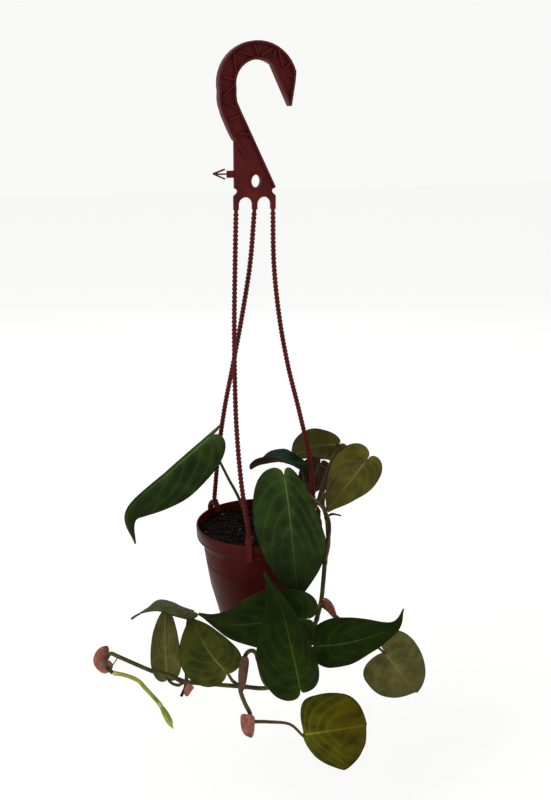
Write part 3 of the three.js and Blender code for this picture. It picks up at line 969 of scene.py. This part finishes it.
YOUNG = Stem(
    "shoot_young", "green", "young_shoot", STEM_YOUNG, (1.6, 1.6), (0.02, 0.66), 0.3, 1.1
)
ROOTS = (
    Stem("root_twig", "bark", "root_bark",
        ((48.5, -19, -345), (50, -22, -342), (53, -24, -340), (58, -29, -340)),
        (1.1, 0.6), (0.5,), 0.2),
    Stem("root_nub", "bark", "root_bark",
        ((-70, -30.5, -463), (-71, -31.5, -466), (-72, -32, -469), (-74, -32, -473)),
        (0.9, 0.8), (0.6, 0.9), 0.5),
    Stem("root_thread", "bark", "root_bark",
        ((-119, -12.5, -442), (-121, -14, -444), (-123.5, -14.5, -447), (-125, -14, -452)),
        (0.5, 0.35)),
)  # fmt: skip

# Leaf stalks: the leaf's key and the way from the blade to the stem.
STALKS: dict[str, tuple[Point, ...]] = {
    "left_high": ((-32, 8, -292), (-22, 11, -314), (-12, 13, -335), (-2, 15, -368)),
    "teal": ((43, 13, -325), (41, 4, -333), (43, -5, -342)),
    "maroon": ((64, 18, -320), (57, 6, -330), (50, -4, -336), (44.5, -7, -337)),
    "back_top": ((61, -4, -298), (55, -8, -307), (49, -12, -318), (46, -10, -333)),
    "back_right": (
        (71, -25, -299), (60, -28, -303), (52, -28, -312), (47, -21, -326), (48, -15, -336),
    ),
    "main": (
        (18, -42, -306), (33, -36, -321), (44, -31, -334), (49, -28, -350), (46, -27, -377),
    ),
    "wide_left": ((20, -67, -399), (31, -52, -403), (40, -34, -411)),
    "right": ((22, -61, -434), (21, -54, -442)),
    "far_right": ((75, -64, -437.5), (63, -52, -430), (52, -43, -421), (40, -34, -411)),
    "front": ((7, -72, -456), (1, -62, -461), (-9, -52, -466)),
    "round_left": ((-40, -50, -451), (-36, -45, -459), (-30, -45, -465)),
    "edge_left": ((-67, -29, -413), (-67, -27, -427), (-68, -27, -445), (-69, -30, -462)),
    "hanging": ((-80, -23, -465), (-75, -27, -466), (-71, -30, -462)),
    "bottom": ((3, -68, -491), (-12, -63, -489), (-26, -58, -489)),
}  # fmt: skip


@dataclass
class Plant:
    """The living part: stems, stalks, blades, sheaths and roots."""

    palette: Palette

    def build(self) -> list[Object]:
        """Builds every living piece."""
        made = [stem.build(self.palette.stem) for stem in STEMS]
        made.append(YOUNG.build(self.palette.shoot))
        made += [root.build(self.palette.root, 8) for root in ROOTS]
        for leaf in LEAVES:
            made += [leaf.build(self.palette), self.stalk(leaf)]
        return made + [sheath.build(self.palette) for sheath in SHEATHS]

    def stalk(self, leaf: Leaf) -> Object:
        """Builds the stalk that carries a leaf."""
        p, _, _, n = leaf.basis(0.0)
        low = p - n * 2.0
        top = p - n * 0.4
        line = (tuple(top), tuple(top.lerp(low, 0.8)), *STALKS[leaf.key])
        stem = Stem(
            f"petiole_{leaf.key}", "stalk", "stem_skin", line, (0.95, 1.45), (0.0, 1.0), 0.3
        )
        return stem.build(self.palette.stalk, 10)


# ---- hanger ----


# Each cord's x and y at equal drops from its arm to its clip.
CORD_WAYS: dict[str, tuple[Pair, ...]] = {
    "front": (
        (-16.5, 0), (-18, -1), (-20, -4.5), (-22, -11), (-24, -21.5), (-24.3, -34),
        (-20.8, -42.6),
    ),
    "left": (
        (-2.5, 0), (-5, 4), (-9.5, 10.6), (-14.6, 19), (-20, 27.5), (-23.7, 34.6),
        (-26.5, 39.3),
    ),
    "right": (
        (11.5, 0), (12.3, 0.1), (16.5, 0.5), (23.8, 1.1), (33.9, 2), (43, 2.8),
        (47.3, 3.3),
    ),
}  # fmt: skip


@dataclass
class Hanger:
    """The moulded hanger: hook and plate, three beaded cords, three rim clips."""

    palette: Palette
    clip_angles: tuple[float, float, float] = (-26.0, -146.0, 94.0)
    # Heights of a cord: inside the arm, below it, each drop, and inside the clip.
    top_z: float = -103.0
    arm_z: float = -104.6
    drop: float = 39.4
    end_z: float = -342.4
    bead: float = 3.0
    core_r: float = 1.1
    bead_r: float = 2.05
    plain_r: float = 1.5
    plain: float = 2.4
    # Two rails on a clip's outer leg: how far out, to each side and down, and their size.
    rail_at: Point = (52.0, 2.1, -353.3)
    rail: Point = (0.9, 0.9, 13.0)

    def build(self) -> list[Object]:
        """Builds hook, cords and clips."""
        hook = self.moulded(copy_of("hanger_hook"), "hanger_hook", "moulded", smooth=False)
        rounded(hook, 0.28)
        made = [hook]
        for angle, name in zip(self.clip_angles, CORD_WAYS):
            made += [self.cord(name), self.clip(math.radians(angle), f"clip_{name}")]
        return made

    def moulded(
        self, bm: BMesh, node: str, kind: str, smooth: bool
    ) -> Object:
        """A piece of the hanger in its plastic."""
        material = [self.palette.hanger]
        return piece_from(bm, f"{node}_{kind}", material, "hanger_plastic", [node], smooth)

    def cord(self, name: str) -> Object:
        """One beaded cord, moulded as beads 3 mm apart on a thin core."""
        way = CORD_WAYS[name]
        points = [(x, y, self.arm_z - self.drop * k) for k, (x, y) in enumerate(way)]
        points[0] = (*way[0], self.top_z)
        points[-1] = (*way[-1], self.end_z)
        length = Line(points).length

        def radius(share: float, _: float) -> float:
            """Plain at the ends, beads between."""
            run = share * length
            if min(run, length - run) < self.plain:
                return self.plain_r
            wave = abs(math.sin(math.pi * run / self.bead)) ** 0.6
            return self.core_r + (self.bead_r - self.core_r) * wave

        bm = tube(points, radius, 10, self.bead / 8)
        return self.moulded(bm, f"cord_{name}", "beaded", smooth=True)

    def clip(self, angle: float, node: str) -> Object:
        """One rim clip with two guide rails on its outer leg."""
        bm = copy_of(node)
        out = Vector((math.sin(angle), -math.cos(angle), 0))
        side = Vector((math.cos(angle), math.sin(angle), 0))
        up = Vector((0, 0, 1))
        far, apart, height = self.rail_at
        for sign in (-1, 1):
            centre = out * far + side * (apart * sign) + up * height
            for v in bmesh.ops.create_cube(bm, size=1.0)["verts"]:
                x, y, z = (a * b for a, b in zip(v.co, self.rail))
                v.co = centre + out * x + side * y + up * z
        bmesh.ops.recalc_face_normals(bm, faces=bm.faces)
        obj = self.moulded(bm, node, "moulded", smooth=False)
        rounded(obj, 0.3)
        return obj


# ---- pot ----


@dataclass
class Pot:
    """The tapered pot: rim band, fine grooves, drain holes."""

    palette: Palette
    segments: int = 128
    drains: int = 6
    drain_ring: float = 20.0
    drain_r: float = 2.6
    base_z: float = -429.0

    def outline(self) -> list[Pair]:
        """Radius and height of the wall, outside up and inside down."""
        grooves = []
        for z in (-378.0, -375.2, -372.4, -369.6, -366.8):
            r = 42.2 + 3.25 * (z + 382.5) / 23.1
            grooves += [(r, z - 0.5), (r - 0.22, z), (r, z + 0.5)]
        return [
            (0.0, self.base_z + 0.8), (24.0, self.base_z + 0.8), (24.8, self.base_z),
            (30.0, self.base_z), (31.0, self.base_z + 0.3), (32.2, -427.4),
            (35.1, -415.6), (39.3, -400.0), (42.1, -383.0), *grooves,
            (45.3, -360.6), (45.7, -359.7), (48.6, -359.6), (49.2, -359.4),
            (49.5, -358.8), (49.3, -358.1), (49.35, -357.3), (49.7, -356.6),
            (49.95, -350.4), (49.8, -349.5), (49.4, -349.05), (49.0, -349.05),
            (48.6, -349.5), (48.5, -350.4), (48.35, -357.2), (47.9, -358.0),
            (44.2, -360.2), (43.9, -361.0), (41.0, -382.5), (38.1, -400.0),
            (33.9, -415.6), (30.9, -427.2), (29.5, -427.6), (0.0, -427.6),
        ]  # fmt: skip

    def build(self) -> Object:
        """Spins the wall and cuts the drain holes."""
        bm = spun(self.outline(), self.segments)
        obj = piece_from(bm, "pot_moulded", [self.palette.pot], "pot_plastic", ["pot"])
        self.cut_drains(obj)
        return obj

    def cut_drains(self, obj: Object) -> None:
        """Cuts the ring of drain holes through the base."""
        cutter = bmesh.new()
        for k in range(self.drains):
            a = math.tau * k / self.drains
            made = bmesh.ops.create_cone(
                cutter, cap_ends=True, segments=24, radius1=self.drain_r,
                radius2=self.drain_r, depth=6.0,
            )["verts"]  # fmt: skip
            offset = Vector((math.cos(a), math.sin(a), 0)) * self.drain_ring
            offset.z = self.base_z + 0.7
            bmesh.ops.translate(cutter, vec=offset, verts=made)
        bmesh.ops.scale(cutter, vec=(MM, MM, MM), verts=cutter.verts)
        tool = meshed(cutter, "drain_cutter")
        mesh = tool.data
        cut = obj.modifiers.new("drains", "BOOLEAN")
        cut.object = tool
        cut.operation = "DIFFERENCE"
        cut.solver = "EXACT"
        bake_modifiers(obj)
        bpy.data.objects.remove(tool)
        bpy.data.meshes.remove(mesh)


# ---- soil ----


# What lies on the mix: how many, least and most half length, width and height shares.
SCATTER = {
    Crumb.BARK: (260, 1.3, 4.6, 0.5, 0.25),
    Crumb.FIBRE: (46, 3.0, 6.5, 0.05, 0.04),
    Crumb.PERLITE: (14, 0.5, 1.0, 0.8, 0.7),
}


@dataclass
class Soil:
    """The potting mix: a rough crumbly top with bark chips and perlite grains."""

    palette: Palette
    top_z: float = -356.0
    top_r: float = 47.9
    rings: int = 46
    segments: int = 160
    seed: int = 11

    def height(self, x: float, y: float) -> float:
        """Surface height of the mix in millimetres."""
        r = math.hypot(x, y) / self.top_r
        p = Vector((x, y, 0.0))
        crumbs = noise.noise(p * 0.16) + noise.noise(p * 0.5) * 0.7
        crumbs += noise.noise(p * 1.3) * 0.45
        return self.top_z + 1.4 - 0.4 * r * r + crumbs * (1 - 0.4 * r**4)

    def build(self) -> list[Object]:
        """Builds the mix and what lies on it."""
        return [self.body(), *(self.scatter(crumb) for crumb in Crumb)]

    def body(self) -> Object:
        """The whole fill, from the floor of the pot to its crumbly top."""
        outline = [
            (0.0, -427.2), (30.4, -427.0), (33.4, -415.6), (37.6, -400.0),
            (40.5, -382.5), (43.4, -360.6), (47.5, -358.0), (self.top_r, -357.2),
        ]  # fmt: skip
        for k in range(1, self.rings + 1):
            outline.append((self.top_r * (1 - k / self.rings), self.top_z))
        bm = spun(outline, self.segments)
        for v in bm.verts:
            if v.co.z > self.top_z - 0.5:
                v.co.z = self.height(v.co.x, v.co.y)
        return piece_from(bm, "soil_mix", [self.palette.soil], "potting_soil", ["soil"])

    def scatter(self, crumb: Crumb) -> Object:
        """Loose crumbs half sunk in the top, all in one piece."""
        rng = random.Random(self.seed + len(crumb.value))
        count, least, most, wide, tall = SCATTER[crumb]
        bm = bmesh.new()
        for _ in range(count):
            r = self.top_r * 0.95 * math.sqrt(rng.random())
            a = rng.uniform(0, math.tau)
            x, y = r * math.cos(a), r * math.sin(a)
            made = bmesh.ops.create_icosphere(bm, subdivisions=1, radius=1.0)["verts"]
            long = rng.uniform(least, most)
            size = Vector((long, long * wide * rng.uniform(0.5, 1.2), long * tall + 0.1))
            turn, tilt = rng.uniform(0, math.tau), rng.uniform(-0.5, 0.5)
            cos, sin = math.cos(turn), math.sin(turn)
            lift = self.height(x, y) + 0.25
            for v in made:
                q = v.co * (1 + rng.uniform(-0.22, 0.22))
                q = Vector((q.x * size.x, q.y * size.y, q.z * size.z))
                qx, qy = x + q.x * cos - q.y * sin, y + q.x * sin + q.y * cos
                rise = q.z + q.x * tilt * 0.4
                far = math.hypot(qx, qy)
                pull = min(1.0, (self.top_r - 0.3) / far) if far else 1.0
                v.co = Vector((qx * pull, qy * pull, rise + lift))
        material = self.palette.crumbs[crumb]
        name = f"soil_{crumb.value}"
        return piece_from(bm, name, [material], "potting_soil", [], smooth=False)


# ---- stage ----


@dataclass
class Studio:
    """Floor, lights, camera and surroundings."""

    floor_z: float = -600.0
    eye: Point = (-226.0, -737.2, -27.6)
    pitch: float = 16.0
    azimuth: float = -18.0
    lens: float = 47.03
    # The middle of the object, which the lights face, in metres.
    aim: Point = (0.0, 0.0, -0.3)

    def build(self) -> None:
        """Sets the stage."""
        self.floor()
        self.camera()
        self.lights()

    def floor(self) -> None:
        """A plain pale floor well below the lowest leaf."""
        bm = bmesh.new()
        bmesh.ops.create_grid(bm, x_segments=1, y_segments=1, size=6.0)
        bmesh.ops.translate(bm, vec=(0, 0, self.floor_z * MM), verts=bm.verts)
        meshed(bm, "floor", [StudioPaper("studio_paper").build()])

    def camera(self) -> None:
        """The camera, level sideways and tipped down."""
        data = bpy.data.cameras.new("camera")
        data.lens = self.lens
        data.sensor_width = 36.0
        data.sensor_fit = "AUTO"
        data.clip_start, data.clip_end = 0.01, 100.0
        cam = placed("camera", data)
        cam.location = Vector(self.eye) * MM
        cam.rotation_euler = (math.radians(90 - self.pitch), 0.0, math.radians(self.azimuth))
        bpy.context.scene.camera = cam

    def light(self, name: str, place: Point, size: float, power: float) -> None:
        """Adds a square soft light.

        Args:
            name: Its name.
            place: Where it hangs, in metres.
            size: Its side in metres.
            power: Its power in watts.
        """
        data = bpy.data.lights.new(name, "AREA")
        data.shape = "SQUARE"
        data.size = size
        data.energy = power
        obj = placed(name, data)
        obj.location = place
        facing = (Vector(self.aim) - Vector(place)).to_track_quat("-Z", "Y")
        obj.rotation_euler = facing.to_euler()

    def lights(self) -> None:
        """Soft key from the upper left, a weaker fill, and a pale room."""
        self.light("key", (-1.4, -0.5, 0.6), 1.2, 8.0)
        self.light("fill", (1.2, -1.3, 0.3), 1.6, 1.0)
        self.light("back", (0.5, 1.6, 0.6), 1.6, 2.0)
        bpy.context.scene.view_settings.view_transform = "Standard"
        world = bpy.data.worlds.new("room")
        bpy.context.scene.world = world
        world.use_nodes = True
        nodes = Nodes(world.node_tree)
        nodes.add("OutputWorld", nodes.add("Background", linear("fdfdfc"), 0.96))


# ---- main ----


def main() -> None:
    """Builds every piece around the frame and reports them."""
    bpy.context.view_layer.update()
    palette = Palette()
    made = Hanger(palette).build()
    made.append(Pot(palette).build())
    made += Soil(palette).build()
    made += Plant(palette).build()
    for obj in made:
        LOG.info("%s: %d faces", obj.name, len(obj.data.polygons))
    Studio().build()


if __name__ == "__main__":
    logging.basicConfig(level=logging.INFO)
    main()
